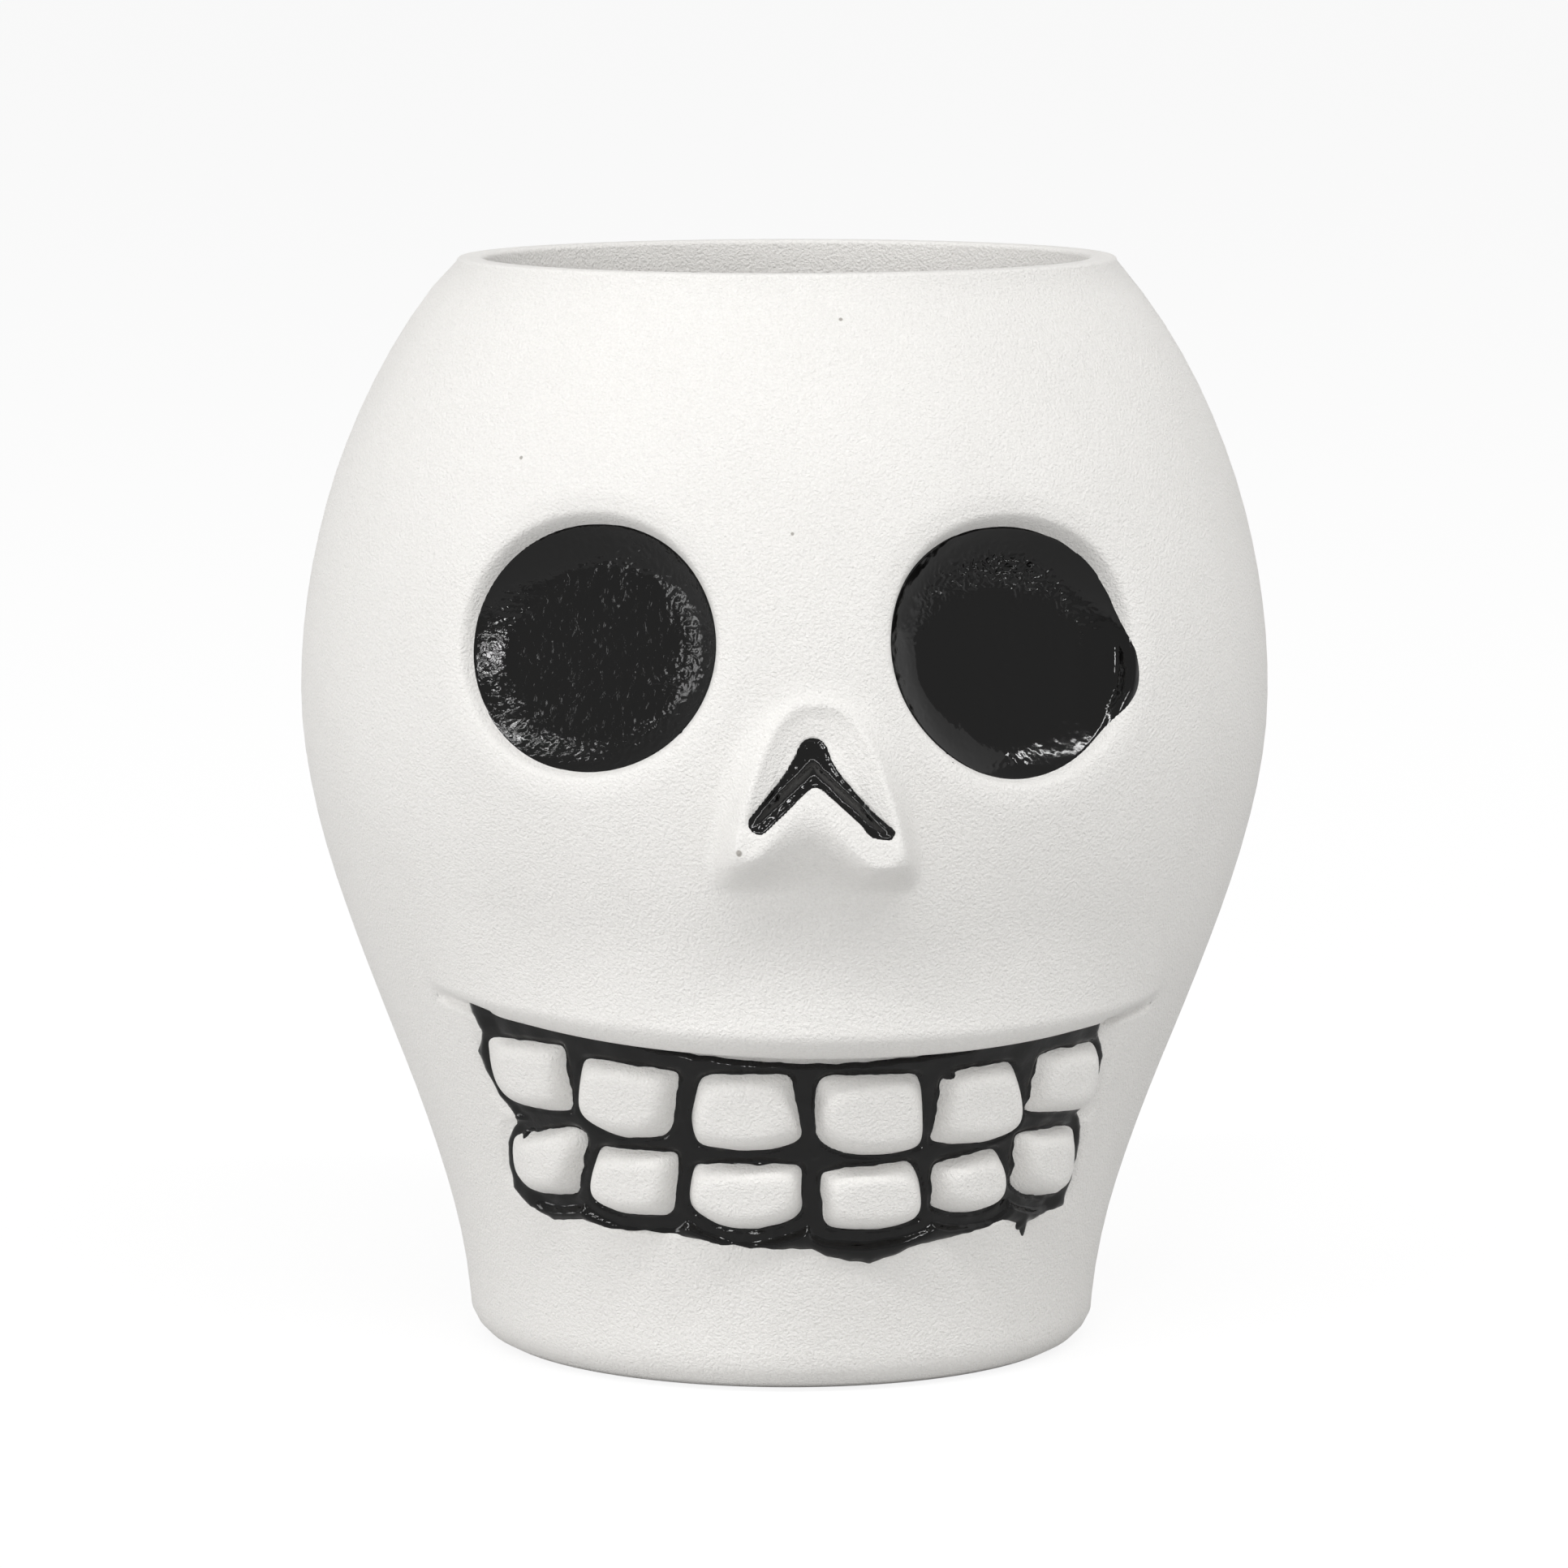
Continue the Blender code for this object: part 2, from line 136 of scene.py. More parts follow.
LIP_ROUND = 2.4
LIP_TAPER = 0.8
LIP_SWEEP = 3
UPPER_JAW_HEIGHT = 10.2
CREASE_DEPTH = 0.7
CREASE_WIDTH = 0.4
CREASE_START = (44, 5)
CREASE_END = (54, 6)
MOUTH_FOOT = 9
MOUTH_DEPTH = 1.15
UNDER_LIP_START = (LIP_HEIGHT - 3.5, 1.5)
UNDER_LIP_END = (49, 4)
TOOTH_RISE = {"upper": 1.3, "lower": 1.6}
TOOTH_TILT = 0.16
CORNER_START = (44, 6)
CORNER_RISE = 0.5
CORNER_SHALLOW = 1.5
TOOTH_EDGE = 0.5
TOOTH_SOFTNESS = 0.95
TOOTH_CORNER = 0.38
TOOTH_ROUND = 0.6
TOOTH_ROOM = 6.5
TOOTH_TURNS = (-8, 22)
NO_TOOTH = -9.0
FAR_OUT = 40.0
GROOVE_WIDTH = 0.7
GROOVE_SLOPE = 1.0

UPPER_MIDDLE = 24.5
UPPER_TEETH = (
    ((-49.0, 28.7), (-35.2, 28.8), (-36.0, 22.8), (-47.8, 22.8), (-50.4, 24.4)),
    ((-32.8, 27.9), (-17.8, 27.3), (-20.2, 21.6), (-29.4, 20.9), (-35.5, 22.7)),
    ((-15.1, 27.1), (-2.2, 27.3), (-0.1, 21.5), (-6.5, 20.3), (-17.0, 20.9), (-17.6, 23.4)),
    ((1.3, 27.1), (16.3, 27.1), (18.5, 20.5), (12.3, 19.8), (4.8, 20.2), (1.1, 21.6)),
    ((19.5, 27.0), (30.9, 27.5), (34.9, 23.6), (35.4, 21.5), (31.5, 20.4), (19.2, 20.8)),
    ((35.1, 27.8), (46.3, 28.2), (49.8, 25.2), (48.8, 22.0), (35.2, 22.7)),
)
LOWER_MIDDLE = 17.3
LOWER_TEETH = (
    ((-49.7, 20.2), (-36.1, 21.8), (-34.4, 21.0), (-38.4, 15.7), (-48.5, 15.2), (-51.9, 16.7)),
    ((-33.2, 20.2), (-19.3, 20.3), (-21.0, 14.7), (-32.7, 14.4), (-36.5, 15.6)),
    ((-17.5, 19.4), (-0.3, 19.6), (-0.1, 14.9), (-5.6, 13.7), (-13.5, 13.7), (-19.0, 15.5)),
    ((2.1, 19.0), (17.2, 19.6), (19.4, 17.8), (20.2, 14.4), (13.7, 13.4), (3.1, 14.0)),
    ((20.4, 19.2), (31.9, 20.1), (35.4, 17.0), (34.6, 14.8), (27.5, 14.2), (21.2, 15.2)),
    ((34.9, 21.1), (47.6, 21.0), (51.0, 17.1), (49.8, 14.9), (42.7, 14.8), (36.3, 16.2)),
)

NOSE_MIDDLE = 0.1
NOSE_NOTCH_MIDDLE = -0.55
NOSE_TOP = 57.6
NOSE_BOTTOM = 45.0
NOSE_FALL = 11.0
NOSE_HALF = 6.5
NOSE_ARCH = 2.8
NOSE_SIDE = 12
NOSE_ABOVE = 3
NOSE_BELOW = 8
NOSE_LEAST = 0.05
NOSE_TOP_REACH = 0.25
NOSE_BOTTOM_REACH = 4.6
NOSE_FLANK = 1.9
NOSE_SHOULDER = 0.5
NOSE_RIDGE = 0.3
NOSE_RIDGE_WIDTH = 0.7
NOSE_RIDGE_INSET = 0.1
NOSE_DIP = 1.0
NOSE_DIP_WIDTH = 2.9
NOSE_DIP_END = (-0.6, 1.2)
NOSE_NOTCH = 3.3
NOSE_LOBE = 5.1
NOSE_LOBE_DROP = 0.4
NOSE_FOOT = 42.2
NOSE_BLEND = 0.7
NOSTRIL_DEPTH = 0.9
NOSTRIL_WALL = (-0.05, 0.4)
NOSTRIL_HEAD = (-0.3, 52.8)
NOSTRIL_FALL = 0.95
NOSTRIL_STROKES = (
    ((-0.3, 53.6, 1.05), (-0.9, 52.4, 1.0)),
    ((-0.9, 52.4, 1.0), (-4.4, 48.45, 0.72)),
    ((-0.25, 53.6, 1.0), (0.3, 52.4, 0.9)),
    ((0.3, 52.4, 0.9), (4.4, 48.1, 0.6)),
    ((4.4, 48.1, 0.6), (5.25, 47.7, 0.45)),
)
NOSTRIL_BLEND = 0.2
NOSTRIL_FAR = 6.0

EYE_TURNS = {"left": -27.6, "right": 24.8}
EYE_HEIGHTS = {"left": 61.55, "right": 61.2}
EYE_RADII = {"left": (10.45, 9.6), "right": (10.35, 9.85)}
EYE_BULGES = {
    "left": ((30, 0.02, 30), (215, 0.02, 30)),
    "right": ((50, 0.025, 25), (230, -0.04, 35), (315, 0.04, 30)),
}
EYE_TILT = 12
EYE_MEAN = 9.8
SOCKET_DEPTH = 4.6
SOCKET_REACH = 8.0
SOCKET_LIP = 2.7
SOCKET_MARGIN = 1.2
STEEP_WALL = (-1.0, 1.9)
STEEP_SHARE = 0.84
SOFT_INSET = 0.35


def smooth_step(share):
    """Ease from 0 to 1 with a level start and end."""
    share = min(max(share, 0.0), 1.0)
    return share * share * (3 - 2 * share)


def ramp(value, start, width):
    """Smooth rise from 0 at a start to 1 a width further on."""
    return smooth_step((value - start) / width)


def head_radius(height):
    """Half width of the head: an S-shaped jaw below the belly and an oval dome above it."""
    belly = WIDTH / 2
    if height <= BELLY_HEIGHT:
        return BASE_RADIUS + (belly - BASE_RADIUS) * smooth_step(height / BELLY_HEIGHT)
    dome = (HEIGHT - BELLY_HEIGHT) / math.sqrt(1 - (CROWN_RADIUS / belly) ** 2)
    return belly * math.sqrt(1 - ((height - BELLY_HEIGHT) / dome) ** 2)


def wall_thickness(height):
    """Thin at the rim, full at the belly and a little thinner in the jaw."""
    body = JAW_WALL + (BELLY_WALL - JAW_WALL) * smooth_step(height / BELLY_HEIGHT)
    near_rim = ramp(height, HEIGHT - RIM_TAPER, RIM_TAPER)
    return body + (RIM_WALL - body) * near_rim


def bore_radius(height):
    """Inside of the casting: straight down from the rim, then out to an even wall."""
    shell = head_radius(height) - wall_thickness(height)
    straight = ramp(height, HEIGHT - RIM_TAPER, RIM_TAPER - BORE_DEPTH)
    return shell + (CROWN_RADIUS - RIM_WALL - shell) * straight


def oval(point):
    """Stretch a round section to the head's depth in front of its axis and behind it."""
    depth = FRONT_DEPTH if point.y < 0 else BACK_DEPTH
    return Vector((point.x, point.y * depth / (WIDTH / 2), point.z))


def on_head(turn, height, relief=0.0):
    """Point on the skin, with its height and relief in millimetres."""
    angle = math.radians(turn)
    outward = Vector((math.sin(angle), -math.cos(angle), 0))
    skin = oval(outward * head_radius(height * MM))
    return Vector((skin.x, skin.y, height * MM)) + outward * relief * MM


def arc(centre, radius, first, last, steps=ROUND_STEPS):
    """Points on an arc in the plane of the profile, with its angles in degrees."""
    points = []
    for step in range(steps + 1):
        angle = math.radians(first + (last - first) * step / steps)
        points.append((centre[0] + radius * math.cos(angle), centre[1] + radius * math.sin(angle)))
    return points


def lip_line(turn):
    """Height of the upper lip's edge."""
    share = turn / LIP_TURN
    return LIP_HEIGHT + LIP_RISE * share * share - LIP_LEAN * share


def inside_corners(turn, height, corners, corner_size):
    """Distance in millimetres inside a rounded shape given by its corners, clockwise."""
    total = 0.0
    for first, second in zip(corners, corners[1:] + corners[:1]):
        across = (second[0] - first[0]) * DEGREE
        up = second[1] - first[1]
        length = math.hypot(across, up)
        out = ((height - first[1]) * across - (turn - first[0]) * DEGREE * up) / length
        total += math.exp(min(out / corner_size, FAR_OUT))
    return -corner_size * math.log(total)


def inside_teeth(turn, height, corner_size):
    """Distance inside the nearest tooth, negative in the grooves, and that tooth's middle."""
    best = (NO_TOOTH, UPPER_MIDDLE)
    for teeth, middle in ((UPPER_TEETH, UPPER_MIDDLE), (LOWER_TEETH, LOWER_MIDDLE)):
        if abs(height - middle) < TOOTH_ROOM:
            for tooth in teeth:
                if TOOTH_TURNS[0] < turn - tooth[0][0] < TOOTH_TURNS[1]:
                    best = max(best, (inside_corners(turn, height, tooth, corner_size), middle))
    return best


def mouth_relief(turn, height):
    """Teeth, the grooves between them and the sunk border round them, without the lip."""
    inside, middle = inside_teeth(turn, height, TOOTH_ROUND)
    border = 1 - ramp(-inside, GROOVE_WIDTH, GROOVE_SLOPE)
    under_lip = ramp(height, *UNDER_LIP_START) * (1 - ramp(abs(turn), *UNDER_LIP_END))
    side = 1 - CORNER_RISE * ramp(abs(turn), *CORNER_START)
    depth = MOUTH_DEPTH * (1 + CORNER_SHALLOW * (side - 1))
    relief = -depth * max(border, under_lip)
    if inside > -TOOTH_EDGE:
        swell = 1 - math.exp(-((inside + TOOTH_EDGE) / TOOTH_SOFTNESS) ** 2)
        rise = TOOTH_RISE["upper" if middle == UPPER_MIDDLE else "lower"] * side
        rise += TOOTH_TILT * (middle - height)
        relief = max(relief, -depth + (depth + rise) * swell)
    return relief


def lip_relief(turn, height):
    """Upper jaw, which flares out above the teeth and turns under at the lip's edge."""
    over = height - lip_line(turn)
    down = 1 - over / UPPER_JAW_HEIGHT
    across = math.cos(math.radians(90 * min(1, abs(turn) / LIP_FADE))) ** LIP_TAPER
    reach = LIP_REACH * max(0.0, down) ** LIP_FLARE * across
    turn_under = LIP_ROUND * (1 + across) / 2
    if over < turn_under:
        reach -= turn_under * (1 - max(over, 0) / turn_under) ** 2
    return max(reach, 0.0)


def crease_relief(turn, height):
    """Crease that runs on past the corners of the mouth."""
    fade = ramp(abs(turn), *CREASE_START) * (1 - ramp(abs(turn), *CREASE_END))
    return -CREASE_DEPTH * fade * math.exp(-((height - lip_line(turn)) / CREASE_WIDTH) ** 2)


def inside_nostrils(side, height):
    """Distance inside the nose's upside-down V, built from tapered strokes."""
    total = 0.0
    for first, second in NOSTRIL_STROKES:
        across, up = second[0] - first[0], second[1] - first[1]
        share = ((side - first[0]) * across + (height - first[1]) * up) / (across ** 2 + up ** 2)
        share = min(max(share, 0.0), 1.0)
        gap = math.hypot(side - first[0] - across * share, height - first[1] - up * share)
        inside = first[2] + (second[2] - first[2]) * share - gap
        total += math.exp(max(inside, -NOSTRIL_FAR) / NOSTRIL_BLEND)
    return NOSTRIL_BLEND * math.log(total)


def nose_face(side, height):
    """Nose without its nostrils: a wedge inside an arched rim, with two lobes below."""
    if abs(side) > NOSE_SIDE or not NOSE_BOTTOM - NOSE_BELOW < height < NOSE_TOP + NOSE_ABOVE:
        return 0.0
    off = abs(side - NOSE_MIDDLE)
    arch = NOSE_TOP - NOSE_FALL * (off / NOSE_HALF) ** NOSE_ARCH
    steepness = NOSE_FALL * NOSE_ARCH / NOSE_HALF * (off / NOSE_HALF) ** (NOSE_ARCH - 1)
    inside_arch = (arch - height) / math.hypot(1, steepness)
    lobe = abs(side - NOSE_NOTCH_MIDDLE) / NOSE_LOBE
    edge = NOSE_BOTTOM + NOSE_NOTCH * (1 - smooth_step(lobe))
    edge -= NOSE_LOBE_DROP * smooth_step(side / NOSE_LOBE)
    above = (height - edge) / (edge - NOSE_FOOT) * NOSE_FLANK
    total = math.exp(-inside_arch / NOSE_BLEND) + math.exp(-above / NOSE_BLEND)
    inside = -NOSE_BLEND * math.log(total)
    share = min(max((NOSE_TOP - height) / (NOSE_TOP - NOSE_BOTTOM), 0.0), 1.0)
    reach = NOSE_TOP_REACH + (NOSE_BOTTOM_REACH - NOSE_TOP_REACH) * share
    reach += NOSE_RIDGE * math.exp(-((inside_arch - NOSE_RIDGE_INSET) / NOSE_RIDGE_WIDTH) ** 2)
    below = NOSTRIL_HEAD[1] - NOSTRIL_FALL * abs(side - NOSTRIL_HEAD[0]) - height
    dip = min(max(inside_arch / NOSE_DIP_WIDTH, 0.0), 1.0)
    dip *= 1 - ramp(below, *NOSE_DIP_END)
    mask = smooth_step((inside + NOSE_FLANK) / (NOSE_FLANK + NOSE_SHOULDER))
    return (reach - NOSE_DIP * dip) * mask


def nose_relief(side, height):
    """Nose with the nostrils' groove sunk in its face."""
    relief = nose_face(side, height)
    if relief > NOSE_LEAST:
        relief -= NOSTRIL_DEPTH * ramp(inside_nostrils(side, height), *NOSTRIL_WALL)
    return relief


def face_relief(turn, height):
    """How far the casting stands out of the plain head."""
    if abs(turn) > LIP_FADE + FACE_SLACK or not MOUTH_FOOT <= height <= NOSE_TOP + NOSE_ABOVE:
        return 0.0
    relief = 0.0
    if height < lip_line(turn):
        relief = mouth_relief(turn, height) if height < LIP_HEIGHT + LIP_SWEEP else 0.0
    elif height < LIP_HEIGHT + UPPER_JAW_HEIGHT + FACE_SLACK:
        relief = lip_relief(turn, height)
    relief += crease_relief(turn, height)
    return relief + nose_relief(math.sin(math.radians(turn)) * FRONT_DEPTH / MM, height)


def eye_frame(side):
    """Frame on the skin at an eye, with +Z out of the socket."""
    turn = math.radians(EYE_TURNS[side])
    place = Matrix.Translation(on_head(EYE_TURNS[side], EYE_HEIGHTS[side]))
    lift = Matrix.Rotation(math.radians(90 - EYE_TILT), 4, "X")
    return place @ Matrix.Rotation(turn, 4, "Z") @ lift


def degrees_between(direction, middle):
    """Difference of two directions, from -180 to 180 degrees."""
    return (direction - middle + 180) % 360 - 180


def beyond_enamel(side, across, up):
    """Distance in millimetres outside the edge of an eye's enamel, negative on it."""
    direction = math.degrees(math.atan2(across, up)) % 360
    size = 1.0
    for middle, bulge, spread in EYE_BULGES[side]:
        size += bulge * math.exp(-(degrees_between(direction, middle) / spread) ** 2)
    return (math.hypot(across / EYE_RADII[side][0], up / EYE_RADII[side][1]) / size - 1) * EYE_MEAN


def socket_level(beyond, skin):
    """Height of a socket's steep wall and soft lip, given the plain skin's height there."""
    steep = ramp(beyond, *STEEP_WALL)
    soft = ramp(beyond, -SOFT_INSET, SOCKET_LIP + SOFT_INSET)
    wall = STEEP_SHARE * steep + (1 - STEEP_SHARE) * soft
    return skin * wall - SOCKET_DEPTH * (1 - wall)


def sink_socket(point, side):
    """Push a point of the skin down into an eye socket."""
    local = eyes[side].inverted() @ point / MM
    beyond = beyond_enamel(side, local.x, local.y)
    if beyond > SOCKET_LIP or abs(local.z) > SOCKET_REACH:
        return point
    local.z = socket_level(beyond, local.z)
    return eyes[side] @ (local * MM)


def pick_faces(piece, wanted):
    """In edit mode, select the faces whose middles pass a test."""
    bpy.ops.mesh.select_mode(type="FACE")
    bpy.ops.mesh.select_all(action="DESELECT")
    mesh = bmesh.from_edit_mesh(piece.data)
    for face in mesh.faces:
        face.select_set(wanted(face.calc_center_median()))
    bmesh.update_edit_mesh(piece.data)


def turn_of(point):
    """Turn of a point round the head, in degrees."""
    return math.degrees(math.atan2(point.x, -point.y))


def on_skin(point):
    """Whether a point of the round head belongs to its outside."""
    if not BASE_ROUND < point.z < HEIGHT - 2 * RIM_ROUND:
        return False
    return math.hypot(point.x, point.y) > head_radius(point.z) - SKIN_BAND


def in_face(middle):
    """Part of the skin that carries the face."""
    return (on_skin(middle) and abs(turn_of(middle)) < FACE_TURN
            and FACE_LOW < middle.z / MM < FACE_HIGH)


def in_features(middle):
    """Mouth and nose, which need the finest mesh."""
    turn, height = abs(turn_of(middle)), middle.z / MM
    fine = any(turn < reach and low < height < high
               for reach, low, high in (FINE_MOUTH, FINE_NOSE))
    return fine and on_skin(middle)


def in_sockets(middle):
    """Eye sockets and their rims."""
    for side, turn in EYE_TURNS.items():
        across = (turn_of(middle) - turn) * math.radians(1) * WIDTH / 2 / MM
        reach = EYE_MEAN + SOCKET_LIP + SOCKET_MARGIN
        if math.hypot(across, middle.z / MM - EYE_HEIGHTS[side]) < reach:
            return on_skin(middle) and not in_features(middle)
    return False


def rows_follow(turn, height):
    """How closely the mesh's rows follow the lip's line, from 0 to 1."""
    follow = ramp(height, *ROWS_START) * (1 - ramp(height, *ROWS_END))
    return follow * (1 - ramp(abs(turn), *ROWS_SIDE_END))


bpy.ops.object.select_all(action="DESELECT")
foot = head_radius(BASE_ROUND) - BASE_ROUND
bpy.ops.mesh.primitive_circle_add(vertices=HEAD_SEGMENTS, radius=foot, fill_type="NGON")
body = bpy.context.object
body.name = "cast_body"
bpy.ops.object.mode_set(mode="EDIT")
bpy.ops.mesh.select_all(action="SELECT")
bpy.ops.mesh.region_to_loop()

rim_top = HEIGHT - RIM_ROUND
profile = arc((foot, BASE_ROUND), BASE_ROUND, -90, 0)
for ring in range(1, OUTSIDE_RINGS + 1):
    ring_height = BASE_ROUND + (rim_top - BASE_ROUND) * ring / OUTSIDE_RINGS
    profile.append((head_radius(ring_height), ring_height))
profile += arc((head_radius(rim_top) - RIM_ROUND, rim_top), RIM_ROUND, 0, 90)[1:]
profile += arc((CROWN_RADIUS - RIM_WALL + RIM_ROUND, rim_top), RIM_ROUND, 90, 180)
floor_edge = FLOOR_THICKNESS + FLOOR_ROUND
for ring in range(1, INSIDE_RINGS):
    ring_height = rim_top + (floor_edge - rim_top) * ring / INSIDE_RINGS
    profile.append((bore_radius(ring_height), ring_height))
well = bore_radius(floor_edge)
profile += arc((well - FLOOR_ROUND, floor_edge), FLOOR_ROUND, 0, -90)
profile.append((well / 2, FLOOR_THICKNESS))

for before, here in zip(profile, profile[1:]):
    bpy.ops.mesh.extrude_region_move(
        TRANSFORM_OT_translate={"value": (0, 0, here[1] - before[1])}
    )
    grow = here[0] / before[0]
    bpy.ops.transform.resize(value=(grow, grow, 1), center_override=(0, 0, 0))
bpy.ops.mesh.edge_face_add()

for wanted, cuts in ((in_face, FACE_CUTS), (in_features, FEATURE_CUTS), (in_sockets, SOCKET_CUTS)):
    pick_faces(body, wanted)
    bpy.ops.mesh.subdivide(number_cuts=cuts)
bpy.ops.mesh.select_all(action="SELECT")
bpy.ops.mesh.remove_doubles(threshold=MERGE_GAP)
bpy.ops.mesh.normals_make_consistent(inside=False)
bpy.ops.object.mode_set(mode="OBJECT")

eyes = {side: eye_frame(side) for side in EYE_TURNS}
for vertex in body.data.vertices:
    point = vertex.co.copy()
    if on_skin(point):
        turn, height = turn_of(point), point.z / MM
        height += (lip_line(turn) - LIP_HEIGHT) * rows_follow(turn, height)
        swell = noise.noise(point * UNEVEN_DETAIL)
        swell += FINE_UNEVEN_SHARE * noise.noise(point * FINE_UNEVEN_DETAIL)
        relief = face_relief(turn, height) + (swell - 1) * UNEVEN / MM
        point = on_head(turn, height, relief)
        for side in eyes:
            point = sink_socket(point, side)
    else:
        near_top = ramp(point.z, RIM_DIP_START, HEIGHT - RIM_DIP_START)
        point.z -= RIM_DIP * near_top * (1 - point.x / CROWN_RADIUS) / 2
        point = oval(point)
    vertex.co = point
bpy.ops.object.shade_smooth()


class Wire:
    """Output of a shader node. Arithmetic on wires and numbers adds Math nodes."""

    def __init__(self, tree, socket=None):
        self.tree = tree
        self.socket = socket

    def node(self, kind, settings=None, inputs=None, output=0):
        """Add a node: its settings first, then the values or wires of its sockets."""
        made = self.tree.nodes.new(kind)
        for name, value in (settings or {}).items():
            setattr(made, name, value)
        for name, value in (inputs or {}).items():
            if isinstance(value, Wire):
                self.tree.links.new(value.socket, made.inputs[name])
            else:
                made.inputs[name].default_value = value
        return Wire(self.tree, made.outputs[output])

    def math(self, operation, first, second):
        return self.node("ShaderNodeMath", {"operation": operation}, {0: first, 1: second})

    def __add__(self, other):
        return self.math("ADD", self, other)

    __radd__ = __add__

    def __sub__(self, other):
        return self.math("SUBTRACT", self, other)

    def __rsub__(self, other):
        return self.math("SUBTRACT", other, self)

    def __mul__(self, other):
        return self.math("MULTIPLY", self, other)

    __rmul__ = __mul__


def noise_wire(place, scale, detail=2.0, roughness=0.5, distortion=0.0):
    """Noise texture between 0 and 1."""
    return place.node("ShaderNodeTexNoise", {}, {
        "Vector": place, "Scale": scale, "Detail": detail,
        "Roughness": roughness, "Distortion": distortion})


def between(wire, low, high):
    """0 below low, 1 above high and a smooth rise between."""
    return wire.node("ShaderNodeMapRange", {"interpolation_type": "SMOOTHSTEP"}, {
        "Value": wire, "From Min": low, "From Max": high})


def blend_colours(share, first, second):
    """Mix of two colours, each a wire or three numbers."""
    ends = {6: first, 7: second}
    ends = {name: end if isinstance(end, Wire) else (*end, 1) for name, end in ends.items()}
    return share.node("ShaderNodeMix", {"data_type": "RGBA"}, {0: share, **ends}, output=2)


def new_finish(name):
    """New material, its Principled shader and a wire on Object coordinates."""
    material = bpy.data.materials.new(name)
    material.use_nodes = True
    shader = material.node_tree.nodes["Principled BSDF"]
    place = Wire(material.node_tree).node("ShaderNodeTexCoord", output=3)
    return material, shader, place


def bump(height, distance):
    """Bump from a height wire, distance being its depth in metres."""
    return height.node("ShaderNodeBump", {}, {
        "Height": height, "Strength": BUMP_STRENGTH, "Distance": distance})


def join(shader, name, wire):
    """Feed a wire into a shader's socket."""
    wire.tree.links.new(wire.socket, shader.inputs[name])


BUMP_STRENGTH = 0.9
CERAMIC_WHITE = (0.90, 0.885, 0.86)
CERAMIC_SHADE = (0.83, 0.815, 0.79)
CERAMIC_ROUGHNESS = 0.72
CERAMIC_SPECULAR = 0.3
CLOUD_SCALE = 60
CLOUD_RANGE = (0.35, 0.75)
CLOUD_SHARE = 0.35
GRAIN_SCALE = 4800
GRAIN_RANGE = (0.35, 0.7)
GRAIN_SHARE = 0.6
MOTTLE_SCALE = 900
MOTTLE_RANGE = (0.3, 0.8)
MOTTLE_ROUGHNESS = 0.14
SAND_SCALE = 4200
SAND_DEPTH = 0.25 * MM
LUMP_SCALE = 420
LUMP_SHARE = 0.2
SPECK_SCALE = 150
SPECK_SIZES = (0.02, 0.05)
SPECK_CHOICE = (0.965, 0.97)
SPECK_CORE = 0.6
SPECK_RAGGED = 0.2 * MM
SPECK_COLOUR = (0.42, 0.40, 0.37)
# Turn, height and radius of the dark specks that can be told apart.
SPECKS = (
    (4.7, 86.5, 0.2), (11.2, 83.6, 0.14), (-38.9, 75.5, 0.2), (-2.7, 70.4, 0.2),
    (12.1, 70.1, 0.14), (-8.1, 46.2, 0.34),
)

ceramic, ceramic_shader, place = new_finish("matt_white_ceramic")
clouds = noise_wire(place, CLOUD_SCALE, detail=3)
mottle = noise_wire(place, MOTTLE_SCALE, detail=2)
cells = {"Vector": place, "Scale": SPECK_SCALE}
speck_centres = place.node("ShaderNodeTexVoronoi", {}, cells)
speck_choice = place.node("ShaderNodeTexVoronoi", {}, cells, output=1)
chosen = place.node("ShaderNodeSeparateColor", {}, {0: speck_choice})
speck = (1 - between(speck_centres, *SPECK_SIZES)) * between(chosen, *SPECK_CHOICE)
for turn, height, size in SPECKS:
    away = place.node("ShaderNodeVectorMath", {"operation": "DISTANCE"}, {
        0: place, 1: on_head(turn, height, face_relief(turn, height))}, output=1)
    away += (mottle - 0.5) * SPECK_RAGGED
    dark = 1 - between(away, SPECK_CORE * size * MM, size * MM)
    speck = speck.math("MAXIMUM", speck, dark)
grain = noise_wire(place, GRAIN_SCALE, detail=2, roughness=0.6)
shade = between(clouds, *CLOUD_RANGE) * CLOUD_SHARE + between(grain, *GRAIN_RANGE) * GRAIN_SHARE
colour = blend_colours(shade, CERAMIC_WHITE, CERAMIC_SHADE)
join(ceramic_shader, "Base Color", blend_colours(speck, colour, SPECK_COLOUR))
matt = CERAMIC_ROUGHNESS + between(mottle, *MOTTLE_RANGE) * MOTTLE_ROUGHNESS
join(ceramic_shader, "Roughness", matt)
sand = noise_wire(place, SAND_SCALE, detail=3, roughness=0.6)
lumps = noise_wire(place, LUMP_SCALE, detail=2)
join(ceramic_shader, "Normal", bump(sand + lumps * LUMP_SHARE, SAND_DEPTH))
ceramic_shader.inputs["Specular IOR Level"].default_value = CERAMIC_SPECULAR
body.data.materials.append(ceramic)

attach(body, "root")
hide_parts("skull_body")


